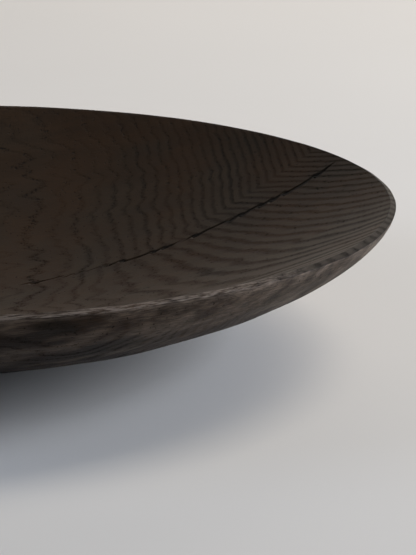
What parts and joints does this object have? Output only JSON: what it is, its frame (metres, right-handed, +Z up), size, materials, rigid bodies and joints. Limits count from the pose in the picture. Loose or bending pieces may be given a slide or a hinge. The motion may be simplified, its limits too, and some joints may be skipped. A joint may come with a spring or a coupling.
{
  "type": "carved wooden bowl",
  "caption": "Shallow round bowl carved from dark-stained, open-grained wood, with a narrow flat rim, faceted outside and a drying check stopped with dark filler.",
  "frame": {"origin": "centre of the flat base, where the bowl stands", "axes": "+Z up, the bowl's axis; the wood's grain runs along X, and the drying check is on the +X, +Y side of the dish"},
  "size_m": [0.3, 0.3, 0.044],
  "materials": {
    "carved_wood": "hand-carved, stained near black and waxed to a satin",
    "check_filler": "black wax and sanding-dust filler, matt"
  },
  "bodies": {
    "root": {"bowl_body": "carved_wood", "check_fill_outer": "check_filler", "check_fill_middle": "check_filler", "check_fill_inner": "check_filler"}
  },
  "joints": []
}
